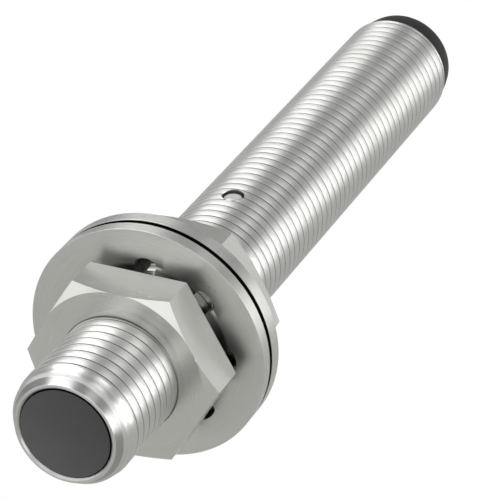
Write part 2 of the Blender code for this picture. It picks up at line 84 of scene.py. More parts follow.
BARREL_START, BARREL_END = y_span("barrel")
CREST_R = max(radii_of("barrel"))           # thread crests
LIP_R = min(radii_of("barrel"))             # opening round the active face
CAP_R = max(radii_of("sensing_face_cap"))
CAP_START, CAP_END = y_span("sensing_face_cap")
BORE_R = CAP_R + 0.15
# a nut turns once per pitch
PITCH = 2 * math.pi / abs(frame["record"]["behaviour"]["couplings"][0]["ratio"]) / MM

guide_low, guide_high = span("light_guide")
GUIDE_Y = (guide_low.y + guide_high.y) / 2
GUIDE_BOTTOM = guide_low.z
GUIDE_TOP = CREST_R - 0.18

INSERT_START, INSERT_END = y_span("connector_insert")
INSERT_R = max(radii_of("connector_insert"))
PIN_NODES = ["contact_pin_%d" % k for k in range(1, 5)]
PINS = [pin_place(node) for node in PIN_NODES]


# =====================================================================================
# mesh helpers
# =====================================================================================
def add_object(name, bm):
    mesh = bpy.data.meshes.new(name)
    bm.to_mesh(mesh)
    bm.free()
    obj = bpy.data.objects.new(name, mesh)
    bpy.context.scene.collection.objects.link(obj)
    return obj


def add_solid(name, bm):
    """Object from a closed shape drawn in millimetres."""
    bmesh.ops.recalc_face_normals(bm, faces=bm.faces)
    bmesh.ops.scale(bm, vec=(MM, MM, MM), verts=bm.verts)
    return add_object(name, bm)


def smooth(obj, sharp):
    """Smooth shading, with edges steeper than sharp degrees kept hard."""
    obj.data.shade_smooth()
    obj.data.set_sharp_from_angle(angle=math.radians(sharp))


def add_part(name, bm, body, material, node, sharp, merge=1e-4):
    """Finished piece that rides on a body and stands in for a CAD node."""
    bmesh.ops.remove_doubles(bm, verts=bm.verts, dist=merge)
    bmesh.ops.dissolve_degenerate(bm, edges=bm.edges, dist=merge)
    obj = add_solid(name, bm)
    obj.data.materials.append(material)
    smooth(obj, sharp)
    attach(obj, body)
    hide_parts(node)
    return obj


def on_circle(radius, y, angle):
    return radius * math.cos(angle), y, radius * math.sin(angle)


def ring(bm, radius, height, segments, axis="Y", centre=(0.0, 0.0)):
    """Circle of vertices; centre is (x, z) for axis Y and (x, y) for axis Z."""
    verts = []
    for k in range(segments):
        angle = 2.0 * math.pi * k / segments
        across = radius * math.cos(angle) + centre[0]
        other = radius * math.sin(angle) + centre[1]
        place = (across, height, other) if axis == "Y" else (across, other, height)
        verts.append(bm.verts.new(place))
    return verts


def bridge(bm, near, far):
    """Faces between two rings."""
    for k in range(len(near)):
        n = (k + 1) % len(near)
        bm.faces.new((near[k], near[n], far[n], far[k]))


def strip(bm, near, far):
    """Faces between two open lines of vertices."""
    for i in range(len(near) - 1):
        bm.faces.new((near[i], far[i], far[i + 1], near[i + 1]))


def lathe(profile, segments, axis="Y", centre=(0.0, 0.0)):
    """Turned solid. profile: closed loop of (radius, height); radius 0 is the axis."""
    bm = bmesh.new()
    rings = [
        ring(bm, radius, height, segments, axis, centre) if radius > 0.0 else None
        for radius, height in profile
    ]
    for i, near in enumerate(rings):
        far = rings[(i + 1) % len(rings)]
        if near and far:
            bridge(bm, near, far)
        elif near or far:
            bm.faces.new(near or far)
    return bm


def fillet(corners, steps=4):
    """Closed profile with rounded corners. corners: (radius, height, rounding; 0 is sharp)."""
    out = []
    points = [Vector(corner[:2]) for corner in corners]
    for i, (point, corner) in enumerate(zip(points, corners)):
        rounding = corner[2]
        if rounding <= 0:
            out.append((point.x, point.y))
            continue
        back, ahead = points[i - 1] - point, points[(i + 1) % len(points)] - point
        rounding = min(rounding, back.length * 0.49, ahead.length * 0.49)
        start = point + back.normalized() * rounding
        end = point + ahead.normalized() * rounding
        for k in range(steps + 1):
            t = k / steps
            curve = start * (1 - t) ** 2 + point * (2 * t * (1 - t)) + end * t ** 2
            out.append((curve.x, curve.y))
    return out


def add_bevel(obj, width, angle):
    mod = obj.modifiers.new("edge_break", "BEVEL")
    mod.width = width * MM
    mod.segments = 2
    mod.limit_method = "ANGLE"
    mod.angle_limit = math.radians(angle)
    mod.harden_normals = True
    mod.use_clamp_overlap = True


def cut(obj, tool, operation="DIFFERENCE"):
    """Boolean, applied at once; the tool is removed."""
    mod = obj.modifiers.new("cut", "BOOLEAN")
    mod.operation = operation
    mod.object = tool
    mod.solver = "EXACT"
    deps = bpy.context.evaluated_depsgraph_get()
    deps.update()
    made = bpy.data.meshes.new_from_object(obj.evaluated_get(deps))
    obj.modifiers.remove(mod)
    old = obj.data
    obj.data = made
    bpy.data.meshes.remove(old)
    bpy.data.objects.remove(tool, do_unlink=True)


# =====================================================================================
# shader helpers
# =====================================================================================
def rgba(colour, gain=1.0):
    return (*[c * gain for c in colour], 1.0)


class Graph:
    """Small helper round a node tree."""

    def __init__(self, tree):
        self.tree = tree

    def node(self, kind, **values):
        """New node; each value goes to the input of that name, or else to the property."""
        made = self.tree.nodes.new(kind)
        for key, value in values.items():
            if key in made.inputs:
                made.inputs[key].default_value = value
            else:
                setattr(made, key, value)
        return made

    def feed(self, value, socket):
        """Link an output, or set a constant."""
        if isinstance(value, bpy.types.NodeSocket):
            self.tree.links.new(value, socket)
        else:
            socket.default_value = value

    def calc(self, operation, *values, clamp=False):
        made = self.node("ShaderNodeMath", operation=operation, use_clamp=clamp)
        for value, socket in zip(values, made.inputs):
            self.feed(value, socket)
        return made.outputs[0]

    def separate(self, vector):
        made = self.node("ShaderNodeSeparateXYZ")
        self.feed(vector, made.inputs[0])
        return tuple(made.outputs)

    def combine(self, x=0.0, y=0.0, z=0.0):
        made = self.node("ShaderNodeCombineXYZ")
        for value, socket in zip((x, y, z), made.inputs):
            self.feed(value, socket)
        return made.outputs[0]

    def smooth_step(self, value, start, end, low=0.0, high=1.0):
        """Smooth change from low at start to high at end."""
        made = self.node("ShaderNodeMapRange", interpolation_type="SMOOTHSTEP")
        self.feed(value, made.inputs["Value"])
        limits = {"From Min": start, "From Max": end, "To Min": low, "To Max": high}
        for name, limit in limits.items():
            made.inputs[name].default_value = limit
        return made.outputs["Result"]

    def mix(self, factor, first, second, blend_type="MIX"):
        made = self.node("ShaderNodeMix", data_type="RGBA", blend_type=blend_type)
        for name, value in (("Factor", factor), ("A", first), ("B", second)):
            self.feed(value, made.inputs[name])
        return made.outputs["Result"]

    def mix_shader(self, factor, first, second):
        made = self.node("ShaderNodeMixShader")
        for value, socket in zip((factor, first, second), made.inputs):
            self.feed(value, socket)
        return made.outputs[0]


class Material(Graph):
    def __init__(self, name):
        self.data = bpy.data.materials.new(name)
        self.data.use_nodes = True
        super().__init__(self.data.node_tree)
        self.shader = self.tree.nodes["Principled BSDF"]

    def set(self, **values):
        """Feed shader inputs; an underscore stands for a space."""
        for key, value in values.items():
            self.feed(value, self.shader.inputs[key.replace("_", " ")])

    def object_coords(self):
        return self.node("ShaderNodeTexCoord").outputs["Object"]

    def radial(self, coords):
        """x, y, z and the distance from the Y axis."""
        x, y, z = self.separate(coords)
        squares = self.calc("ADD", self.calc("MULTIPLY", x, x), self.calc("MULTIPLY", z, z))
        return x, y, z, self.calc("SQRT", squares)

    def noise(self, coords, scale, detail, roughness=0.5):
        made = self.node("ShaderNodeTexNoise", Scale=scale, Detail=detail, Roughness=roughness)
        self.feed(coords, made.inputs["Vector"])
        return made.outputs["Fac"]

    def vary_roughness(self, base, noise, amount, clamp=True):
        varied = self.calc("ADD", base, self.calc("MULTIPLY", noise, amount), clamp=clamp)
        self.set(Roughness=varied)

    def bump(self, height, strength, distance=0.02):
        """distance in millimetres"""
        made = self.node("ShaderNodeBump", Strength=strength, Distance=distance * MM)
        self.feed(height, made.inputs["Height"])
        self.set(Normal=made.outputs[0])


# =====================================================================================
# kinds of material
# =====================================================================================
SMALLEST_R = 1e-5       # metres; keeps divisions by the radius finite
AROUND_SCALE = 2.2      # noise scale round the axis, along the tool marks


def turned_coordinates(mat, coords, line):
    """Second axis runs across the tool marks: along Y on the side, along the radius on ends."""
    x, y, z, radius = mat.radial(coords)
    safe = mat.calc("MAXIMUM", radius, SMALLEST_R)
    return mat.combine(
        mat.calc("MULTIPLY", mat.calc("DIVIDE", x, safe), AROUND_SCALE),
        mat.calc("MULTIPLY", mat.calc("ADD", y, radius), 1.0 / (line * MM)),
        mat.calc("MULTIPLY", mat.calc("DIVIDE", z, safe), AROUND_SCALE),
    )


def lit_side_share(mat, x, z, radius, angle, keep):
    """Share of light left round one direction, angle degrees from straight up towards +X: the painted
    shade in the roots is lifted on this lit side.
    """
    turn = math.radians(angle)
    along_x = mat.calc("MULTIPLY", x, math.sin(turn))
    along_z = mat.calc("MULTIPLY", z, math.cos(turn))
    along = mat.calc("ADD", along_x, along_z)
    facing = mat.calc("DIVIDE", along, mat.calc("MAXIMUM", radius, SMALLEST_R))
    fade_from, fade_to = math.cos(math.radians(36.0)), math.cos(math.radians(14.0))
    return mat.smooth_step(facing, fade_from, fade_to, high=keep)


def cone_shade_share(mat, y, radius, inner, start, end, keep):
    """Share of light left on a band outside the inner radius, darkened as painted shade on the front
    cone.
    """
    outside = mat.calc("GREATER_THAN", radius, inner * MM)
    after = mat.calc("GREATER_THAN", y, start * MM)
    before = mat.calc("LESS_THAN", y, end * MM)
    inside = mat.calc("MULTIPLY", outside, mat.calc("MULTIPLY", after, before))
    return mat.calc("SUBTRACT", 1.0, mat.calc("MULTIPLY", inside, 1.0 - keep))


def paint_shade(mat, coords, shade, root_shade, lit_side, cone_shade):
    """Painted shade: darken the thread roots, lift that shade again on the lit side, and darken a
    band on the front cone.
    """
    x, y, z, radius = mat.radial(coords)
    unshaded = mat.smooth_step(radius, root_shade["full_shade"] * MM, root_shade["unshaded"] * MM, low=root_shade["keep"])
    before = mat.calc("LESS_THAN", y, root_shade["start"] * MM)
    keep = mat.calc("MAXIMUM", unshaded, before, clamp=True)
    if lit_side:
        keep = mat.calc("MAXIMUM", keep, lit_side_share(mat, x, z, radius, **lit_side), clamp=True)
    if cone_shade:
        keep = mat.calc("MULTIPLY", keep, cone_shade_share(mat, y, radius, **cone_shade))
    return mat.mix(1.0, shade, keep, blend_type="MULTIPLY")


def turned_metal(name, colour, rough, aniso, line, bump, blotch, dark,
                 root_shade=None, lit_side=None, cone_shade=None):
    """Satin metal with fine tool marks round the axis and faint handling marks.
    line: spacing of the marks, mm; blotch: change of roughness; dark: gain in dark marks.
    root shade: radii of full painted shade and of unshaded metal, the y it starts at, share of light
    left.
    """
    mat = Material(name)
    coords = mat.object_coords()
    marks = mat.noise(turned_coordinates(mat, coords, line), 1.0, detail=3.0, roughness=0.6)
    spots = mat.noise(coords, 420.0, detail=4.0, roughness=0.62)
    mark = mat.calc("SUBTRACT", marks, 0.5)
    spot = mat.calc("SUBTRACT", spots, 0.5)
    marked = mat.calc("ADD", rough, mat.calc("MULTIPLY", mark, 0.10))
    mat.vary_roughness(marked, spot, blotch * 2)
    fine = mat.calc("MULTIPLY", mark, 1.3)
    broad = mat.calc("ADD", 0.72, mat.calc("MULTIPLY", spot, 0.5))
    bright = mat.calc("ADD", fine, broad, clamp=True)
    shade = mat.mix(bright, rgba(colour, dark), rgba(colour, 1.06))
    # painted shade in the thread roots and on the front cone, lifted on the lit side
    if root_shade:
        shade = paint_shade(mat, coords, shade, root_shade, lit_side, cone_shade)
    mat.set(Base_Color=shade, Metallic=1.0)
    mat.bump(marks, bump, distance=0.03)
    if aniso:
        tangent = mat.node("ShaderNodeTangent", direction_type="RADIAL", axis="Y")
        mat.set(Tangent=tangent.outputs[0], Anisotropic=aniso, Anisotropic_Rotation=0.25)
    return mat.data


def moulded_plastic(name, colour, rough, grain=0.12, bump=0.10, coat=0.0, gloss=0.5):
    """Moulded surface with a fine grain (mm) and slight shade variation."""
    mat = Material(name)
    coords = mat.object_coords()
    fine = mat.noise(coords, 1.0 / (grain * MM), detail=2.0)
    broad = mat.noise(coords, 260.0, detail=3.0, roughness=0.55)
    mottle = 0.15
    mat.set(Base_Color=mat.mix(broad, rgba(colour, 1 - mottle), rgba(colour, 1 + mottle)))
    mat.vary_roughness(rough - 0.06, broad, 0.12)
    mat.bump(fine, bump)
    mat.set(IOR=1.5, Specular_IOR_Level=gloss)
    if coat:
        mat.set(Coat_Weight=coat, Coat_Roughness=0.08)
    return mat.data


def face_plastic(name, colour, face_r, flank_r):
    """Smooth dark grey out to face_r; black from flank_r, in the gap to the metal."""
    mat = Material(name)
    coords = mat.object_coords()
    x, y, z, radius = mat.radial(coords)
    edge = mat.smooth_step(radius, face_r * MM, flank_r * MM)
    cloud = mat.noise(coords, 160.0, detail=2.0)
    grain = mat.noise(coords, 9000.0, detail=2.0)

    # painted light: lighter towards -X and -Z and darker towards +X and +Z, with a faint cloudiness
    painted_light_slant = mat.calc("MULTIPLY", mat.calc("ADD", x, z), -0.075 / MM)
    middle = mat.calc("ADD", 0.5, painted_light_slant)
    cloudy = mat.calc("MULTIPLY", mat.calc("SUBTRACT", cloud, 0.5), 0.3)
    painted_light_gains = (1.32, 1.27, 1.29)
    light = rgba([c * gain for c, gain in zip(colour, painted_light_gains)])
    body = mat.mix(mat.calc("ADD", middle, cloudy, clamp=True), rgba(colour, 0.70), light)
    mat.set(Base_Color=mat.mix(edge, body, rgba((0.003, 0.003, 0.003))))

    gloss = mat.calc("SUBTRACT", 0.5, mat.calc("MULTIPLY", edge, 0.4))
    mat.set(Specular_IOR_Level=gloss)
    mat.vary_roughness(0.20, cloud, 0.08, clamp=False)
    mat.bump(grain, strength=0.03)
    return mat.data


def noisy_metal(name, colour, rough, scale=900.0, bump=0.15):
    mat = Material(name)
    noise = mat.noise(mat.object_coords(), scale, detail=4.0)
    mat.set(Base_Color=mat.mix(noise, rgba(colour, 0.85), rgba(colour)), Metallic=1.0)
    mat.vary_roughness(rough - 0.05, noise, 0.1)
    mat.bump(noise, bump)
    return mat.data


def clear_resin(name, colour, rough, transmission):
    mat = Material(name)
    noise = mat.noise(mat.object_coords(), 700.0, detail=2.0)
    mat.vary_roughness(rough, noise, 0.06, clamp=False)
    mat.bump(noise, strength=0.05)
    mat.set(Base_Color=rgba(colour), Transmission_Weight=transmission, IOR=1.5)
    return mat.data


# =====================================================================================
# materials
# =====================================================================================
mat_barrel = turned_metal(
    "nickel_turned_barrel", (0.62, 0.622, 0.612), rough=0.36,
    aniso=0.8, line=0.10, bump=0.10, blotch=0.05, dark=0.82,
    # painted shade in the thread grooves
    root_shade=dict(full_shade=CREST_R - 0.10, unshaded=CREST_R - 0.035, start=BARREL_START + 1.75, keep=0.16),
    # painted light: the groove shade lifted on the right, where the highlight falls
    lit_side=dict(angle=70.0, keep=0.55),
    # painted shade on the front cone
    cone_shade=dict(inner=4.95, start=BARREL_START - 0.17, end=BARREL_START + 0.53, keep=0.62),
)
mat_nut = turned_metal(
    "nickel_nut", (0.60, 0.60, 0.58), rough=0.25,
    aniso=0.0, line=0.16, bump=0.03, blotch=0.04, dark=0.93,
)
mat_washer = turned_metal(
    "steel_washer", (0.60, 0.60, 0.583), rough=0.30,
    aniso=0.7, line=0.14, bump=0.04, blotch=0.05, dark=0.9,
    # painted shade on the teeth, in the gap between the nut and the washer ring
    root_shade=dict(full_shade=8.2, unshaded=8.62, start=-1.0, keep=0.22),
)
mat_face = face_plastic(
    "active_face_plastic", (0.056, 0.055, 0.056), face_r=LIP_R - 0.07, flank_r=LIP_R - 0.03,
)
mat_insert = moulded_plastic(
    "black_connector_plastic", (0.016, 0.016, 0.016), rough=0.42, grain=0.14, bump=0.14, gloss=0.12,
)
mat_seal = moulded_plastic(
    "black_rubber", (0.0015, 0.0015, 0.0015), rough=0.9, grain=0.10, gloss=0.0,
)
mat_oring = moulded_plastic("nitrile_rubber", (0.015, 0.015, 0.015), rough=0.6, grain=0.15)
mat_guide = clear_resin("light_guide_resin", (0.72, 0.74, 0.72), rough=0.12, transmission=0.45)
mat_gold = noisy_metal("contact_gold", (0.86, 0.64, 0.27), rough=0.22, scale=1200.0, bump=0.08)
mat_ferrite = moulded_plastic(
    "sintered_ferrite", (0.05, 0.05, 0.055), rough=0.55, grain=0.2, bump=0.4,
)
mat_bobbin = moulded_plastic("bobbin_plastic", (0.72, 0.69, 0.58), rough=0.45)
mat_copper = noisy_metal(
    "enamelled_copper", (0.66, 0.28, 0.12), rough=0.25, scale=1500.0, bump=0.2,
)
mat_brass = noisy_metal("brass_shield", (0.72, 0.57, 0.30), rough=0.28)
mat_holder = moulded_plastic("holder_plastic", (0.09, 0.09, 0.10), rough=0.45)
mat_chip = moulded_plastic("chip_epoxy", (0.028, 0.028, 0.030), rough=0.5, grain=0.06, bump=0.3)
mat_resistor = moulded_plastic("resistor_glaze", (0.06, 0.06, 0.09), rough=0.35, grain=0.08)
mat_capacitor = moulded_plastic("capacitor_ceramic", (0.42, 0.30, 0.19), rough=0.4, grain=0.08)
mat_led = clear_resin("led_resin", (0.85, 0.66, 0.12), rough=0.08, transmission=0.3)
mat_potting = moulded_plastic("potting_resin", (0.03, 0.03, 0.034), rough=0.28, grain=0.5)
mat_brown = moulded_plastic("wire_brown", (0.18, 0.075, 0.03), rough=0.45)
mat_black = moulded_plastic("wire_black", (0.02, 0.02, 0.02), rough=0.45)
mat_blue = moulded_plastic("wire_blue", (0.025, 0.11, 0.40), rough=0.45)
mat_board = moulded_plastic(
    "board_solder_mask", (0.015, 0.16, 0.06), rough=0.3, grain=0.3, bump=0.15, coat=0.4,
)


# =====================================================================================
# thread
# =====================================================================================
def groove_section(width, depth, crown):
    """One pitch across the thread: a narrow rounded groove, then a broad crest, cambered by
    crown. The points are (share of the pitch, depth)."""
    w = width / PITCH / 2
    wall = [(0.0, depth), (w * 0.35, depth * 0.86), (w * 0.72, depth * 0.36), (w, crown)]
    shares = (w + (0.5 - w) * 0.33, w + (0.5 - w) * 0.66)
    crest = [(t, crown * ((t - 0.5) / (0.5 - w)) ** 2) for t in shares]
    rise = wall + crest
    return rise + [(0.5, 0.0)] + [(1.0 - t, d) for t, d in reversed(rise[1:])]


def thread_surface(bm, segments, y_start, y_end, envelope, section, phase=0.0):
    """Helical surface between two circles; returns its first and last ring of vertices.
    envelope(y, depth) gives the radius there. Angles run from +X to +Z, so y falls with the
    angle on this right-hand thread."""
    turns = int((y_end - y_start) / PITCH) + 3
    first, last, columns = [], [], []
    for j in range(segments):
        angle = 2.0 * math.pi * j / segments
        low = bm.verts.new(on_circle(envelope(y_start, 0.0), y_start, angle))
        high = bm.verts.new(on_circle(envelope(y_end, 0.0), y_end, angle))
        first.append(low)
        last.append(high)
        column = []
        for k in range(-2, turns):
            for share, depth in section:
                y = y_start + phase + (k - j / segments + share) * PITCH
                if y <= y_start + 1e-3:
                    column.append(low)
                elif y >= y_end - 1e-3:
                    column.append(high)
                else:
                    column.append(bm.verts.new(on_circle(envelope(y, depth), y, angle)))
        columns.append(column)

    count = len(columns[0])
    for j, near in enumerate(columns):
        at_seam = j + 1 == segments
        far = columns[(j + 1) % segments]
        shift = -len(section) if at_seam else 0     # the helix is one turn on at the seam
        for i in range(count - 1):
            a, b = (min(max(i + step + shift, 0), count - 1) for step in (0, 1))
            corners = list(dict.fromkeys((near[i], near[i + 1], far[b], far[a])))
            if len(corners) > 2:
                bm.faces.new(corners)
    return first, last


# =====================================================================================
# barrel: turned tube with a helical thread groove
# =====================================================================================
BARREL_SEGMENTS = 128
BARREL_SHARP = 12.0
THREAD_START = BARREL_START + 1.45
LEAD_IN, LEAD_IN_DROP = 0.6, 0.18       # length and depth of the rounding at the front
RUN_OUT, RUN_OUT_DROP = 0.35, 0.16      # the same at the rear
GROOVE_RAMP = 0.15                      # length over which the groove reaches full depth

# (radius, y from the barrel's front end): run-in, chamfer, cone, flat lip, bevel into the
# gap round the face
FRONT_PROFILE = [
    (5.805, 1.25), (5.79, 0.95), (5.77, 0.87), (5.735, 0.815), (5.53, 0.60), (5.495, 0.565),
    (5.47, 0.52), (5.085, -0.155), (5.07, -0.20), (5.045, -0.235), (5.01, -0.25),
    (4.80, -0.25), (4.775, -0.24), (4.755, -0.215), (4.60, -0.07), (4.59, -0.04),
    (4.59, 0.6), (BORE_R, 0.75),
]
# (radius, y from the barrel's rear end)
REAR_PROFILE = [(BORE_R, -0.12), (BORE_R + 0.12, 0.0), (CREST_R - 0.32, 0.0), (CREST_R - 0.20, -0.04)]


def barrel_envelope(y, depth):
    crest = CREST_R
    if y > BARREL_END - RUN_OUT:
        t = (y - (BARREL_END - RUN_OUT)) / RUN_OUT
        crest = CREST_R - RUN_OUT_DROP * t * t
    if y < THREAD_START + LEAD_IN:
        t = (THREAD_START + LEAD_IN - y) / LEAD_IN
        crest = CREST_R - LEAD_IN_DROP * t * t
    ramp = min(1.0, max(0.0, (y - THREAD_START) / GROOVE_RAMP))
    return min(crest, CREST_R - depth * ramp)


def barrel_mesh():
    bm = bmesh.new()
    section = groove_section(width=0.22, depth=0.15, crown=0.025)
    first, last = thread_surface(
        bm, BARREL_SEGMENTS, THREAD_START, BARREL_END, barrel_envelope, section, phase=-0.10,
    )
    profile = [(radius, BARREL_START + y) for radius, y in FRONT_PROFILE]
    profile += [(radius, BARREL_END + y) for radius, y in REAR_PROFILE]
    chain = [first] + [ring(bm, radius, y, BARREL_SEGMENTS) for radius, y in profile] + [last]
    for near, far in zip(chain, chain[1:]):
        bridge(bm, near, far)
    return bm


def make_barrel():
    barrel = add_part(
        "threaded_barrel", barrel_mesh(), "barrel", mat_barrel, "barrel",
        sharp=BARREL_SHARP, merge=2e-4,
    )
    # countersunk hole over the light guide: (radius, z)
    hole_r, mouth_r = 1.10, 1.34
    bottom, top = BORE_R - 1.2, CREST_R + 0.25
    hole = [(0, bottom), (hole_r, bottom), (hole_r, CREST_R - 0.16), (mouth_r, top), (0, top)]
    cut(barrel, add_solid("hole_tool", lathe(hole, 48, "Z", (0.0, GUIDE_Y))))
    smooth(barrel, BARREL_SHARP)


make_barrel()


# =====================================================================================
# nuts, with a threaded bore
# =====================================================================================
NUT_SEGMENTS = 144
NUT_BORE = CREST_R + 0.03
NUT_LEAD = 0.05         # chamfer at both ends of the bore


def nut_mesh(y_flat, y_chamfer, across):
    """Hexagon nut across its flats, with the corners chamfered on one side."""
    out = 1.0 if y_chamfer > y_flat else -1.0
    face_r = across / 2 + 0.03
    slope = math.tan(math.radians(30.0))
    bm = bmesh.new()
    low, high = min(y_flat, y_chamfer) + NUT_LEAD, max(y_flat, y_chamfer) - NUT_LEAD
    section = groove_section(width=0.30, depth=0.22, crown=0.0)
    first, last = thread_surface(
        bm, NUT_SEGMENTS, low, high, lambda y, depth: NUT_BORE + depth, section,
    )
    chamfer_ring, flat_ring = (first, last) if out < 0 else (last, first)
    loops = []
    for k in range(NUT_SEGMENTS):
        angle = 2.0 * math.pi * k / NUT_SEGMENTS
        reach = (across / 2) / math.cos((angle % (math.pi / 3)) - math.pi / 6)
        points = [
            (NUT_BORE + NUT_LEAD, y_flat),
            (reach, y_flat),
            (reach, y_chamfer - out * max(0.0, reach - face_r) * slope),
            (min(face_r, reach), y_chamfer),
            (NUT_BORE + NUT_LEAD, y_chamfer),
        ]
        outside = [bm.verts.new(on_circle(radius, y, angle)) for radius, y in points]
        loops.append([flat_ring[k]] + outside + [chamfer_ring[k]])
    for k in range(NUT_SEGMENTS):
        strip(bm, loops[k], loops[(k + 1) % NUT_SEGMENTS])
    return bm


def make_nut(node, flat_side_high):
    low, high = span(node)
    flat, chamfer = (high.y, low.y) if flat_side_high else (low.y, high.y)
    bm = nut_mesh(flat, chamfer, across=high.z - low.z)
    obj = add_part(node + "_threaded", bm, node, mat_nut, node, sharp=24.0)
    add_bevel(obj, width=0.045, angle=24.0)


make_nut("front_nut", flat_side_high=True)
make_nut("rear_nut", flat_side_high=False)


# =====================================================================================
# internal-tooth lock washers and the seal ring
# =====================================================================================
WASHER_BORE = 8.6       # root of the teeth
NOTCH_DEPTH = 0.55      # how far the notches between the teeth reach outwards
RIM_EDGE = 0.035        # rounding of the outer edge
TEETH = 8
TOOTH_PITCH = 360.0 / TEETH
TOOTH_HALF = 15.0       # degrees
TIP_THINNING = 0.12     # taken from each side at the tip
TOOTH_STEPS, NOTCH_STEPS, TOOTH_LEVELS = 10, 10, 7
TOOTH_COLUMNS = TOOTH_STEPS + NOTCH_STEPS


def washer_columns():
    """(angle in degrees, inner radius) round the washer: a notch, then a tooth, and so on."""
    notch_half = TOOTH_PITCH / 2 - TOOTH_HALF
    columns = []
    for t in range(TEETH):
        for i in range(NOTCH_STEPS):
            # closer points where the notch turns into the tooth
            u = -math.cos(math.pi * i / NOTCH_STEPS)
            radius = WASHER_BORE + NOTCH_DEPTH * math.sqrt(max(0.0, 1 - u * u))
            columns.append((TOOTH_PITCH * t + u * notch_half, radius))
        for i in range(TOOTH_STEPS):
            u = -1 + 2 * i / TOOTH_STEPS
            columns.append((TOOTH_PITCH * t + TOOTH_PITCH / 2 + u * TOOTH_HALF, WASHER_BORE))
    return columns


def rim_line(bm, degrees, inner, outer, y, inward):
    """Vertices across one side of the ring; inward is the way to the other side along Y."""
    points = [
        (inner, y), ((inner + outer) / 2, y), (outer - RIM_EDGE, y),
        (outer - RIM_EDGE * 0.3, y + inward * RIM_EDGE * 0.3), (outer, y + inward * RIM_EDGE),
    ]
    return [bm.verts.new(on_circle(radius, height, math.radians(degrees)))
            for radius, height in points]


def blade_line(bm, root, t, u, tip, y, inward, rise):
    """Vertices from a tooth's root to its tip; u runs from -1 to 1 across the tooth."""
    line = [root]
    for level in range(1, TOOTH_LEVELS + 1):
        f = level / TOOTH_LEVELS
        radius = WASHER_BORE + (tip - WASHER_BORE) * f
        narrow = 1 - 0.10 * f * f
        angle = math.radians(TOOTH_PITCH * t + TOOTH_PITCH / 2 + u * TOOTH_HALF * narrow)
        lift = rise * (1 + u) / 2 * (f * f * (3 - 2 * f) * 0.55 + f * 0.45)
        height = y + lift + inward * TIP_THINNING * f
        line.append(bm.verts.new(on_circle(radius, height, angle)))
    return line


def washer_mesh(y_low, y_high, rise, outer, tip):
    """Ring with twisted teeth; rise is how far a tooth's one corner is bent along Y."""
    bm = bmesh.new()
    sides = (("low", y_low, 1), ("high", y_high, -1))
    columns = washer_columns()
    count = len(columns)
    rings = {
        side: [rim_line(bm, degrees, inner, outer, y, inward) for degrees, inner in columns]
        for side, y, inward in sides
    }
    blades = {"low": {}, "high": {}}
    for t in range(TEETH):
        start = t * TOOTH_COLUMNS + NOTCH_STEPS
        for i in range(TOOTH_STEPS + 1):
            u = -1 + 2 * i / TOOTH_STEPS
            for side, y, inward in sides:
                root = rings[side][(start + i) % count][0]
                blades[side][t, i] = blade_line(bm, root, t, u, tip, y, inward, rise)

    # flat sides of the ring and of the teeth
    for side in ("low", "high"):
        for c in range(count):
            strip(bm, rings[side][c], rings[side][(c + 1) % count])
        for t in range(TEETH):
            for i in range(TOOTH_STEPS):
                strip(bm, blades[side][t, i], blades[side][t, i + 1])

    # outer edge, and the inner edge in the notches
    low, high = rings["low"], rings["high"]
    for c in range(count):
        n = (c + 1) % count
        bm.faces.new((low[c][-1], low[n][-1], high[n][-1], high[c][-1]))
        if c % TOOTH_COLUMNS < NOTCH_STEPS:
            bm.faces.new((low[c][0], low[n][0], high[n][0], high[c][0]))

    # flanks and tips of the teeth
    low, high = blades["low"], blades["high"]
    for t in range(TEETH):
        for i in (0, TOOTH_STEPS):
            a, b = low[t, i], high[t, i]
            for k in range(TOOTH_LEVELS):
                bm.faces.new((a[k], a[k + 1], b[k + 1], b[k]))
        for i in range(TOOTH_STEPS):
            n = i + 1
            bm.faces.new((low[t, i][-1], low[t, n][-1], high[t, n][-1], high[t, i][-1]))
    return bm


def make_washer(node, body, teeth_high):
    """teeth_high: the teeth are bent towards +Y, otherwise towards -Y."""
    radii = radii_of(node)
    outer, tip = max(radii), min(radii)
    vertices = frame["nodes"][node].data.vertices
    # the ring's flat sides, without the bent teeth
    rim = [v.co.y / MM for v, radius in zip(vertices, radii) if radius > outer - 0.3]
    y_low, y_high = min(rim), max(rim)
    low, high = y_span(node)
    rise = high - y_high + TIP_THINNING if teeth_high else low - y_low - TIP_THINNING
    bm = washer_mesh(y_low, y_high, rise, outer, tip)
    obj = add_part(node + "_toothed", bm, body, mat_washer, node, sharp=14.0)
    add_bevel(obj, width=0.03, angle=40.0)


def make_seal():
    low, high = y_span("seal_ring")
    radii = radii_of("seal_ring")
    outer, inner = max(radii), min(radii)
    extra, rounding = 0.03, 0.02        # extra thickness on each side
    corners = [
        (inner, low - extra, rounding), (outer, low - extra, rounding),
        (outer, high + extra, rounding), (inner, high + extra, rounding),
    ]
    add_part(
        "seal_ring_rubber", lathe(fillet(corners, steps=2), 144),
        "rear_washer", mat_seal, "seal_ring", sharp=50.0,
    )


make_washer("front_lock_washer", "front_washer", teeth_high=False)
make_washer("rear_lock_washer", "rear_washer", teeth_high=True)
make_seal()


# =====================================================================================
# active face cap and light guide
# =====================================================================================
def make_cap():
    """Cup, open to the rear, whose narrower nose fills the barrel's front opening."""
    face_y = BARREL_START - 0.19
    nose_r = LIP_R - 0.02
    inner_r = CAP_R - 0.45
    floor_y = CAP_START + 0.9
    corners = [     # (radius, y, rounding)
        (0, face_y, 0), (nose_r, face_y, 0.06),
        (nose_r, CAP_START + 1.0, 0.05), (CAP_R, CAP_START + 1.15, 0.05),
        (CAP_R, CAP_END, 0.05), (inner_r, CAP_END, 0.05),
        (inner_r, floor_y, 0.2), (0, floor_y, 0),
    ]
    add_part(
        "active_face_cap", lathe(fillet(corners), 128),
        "barrel", mat_face, "sensing_face_cap", sharp=40.0,
    )


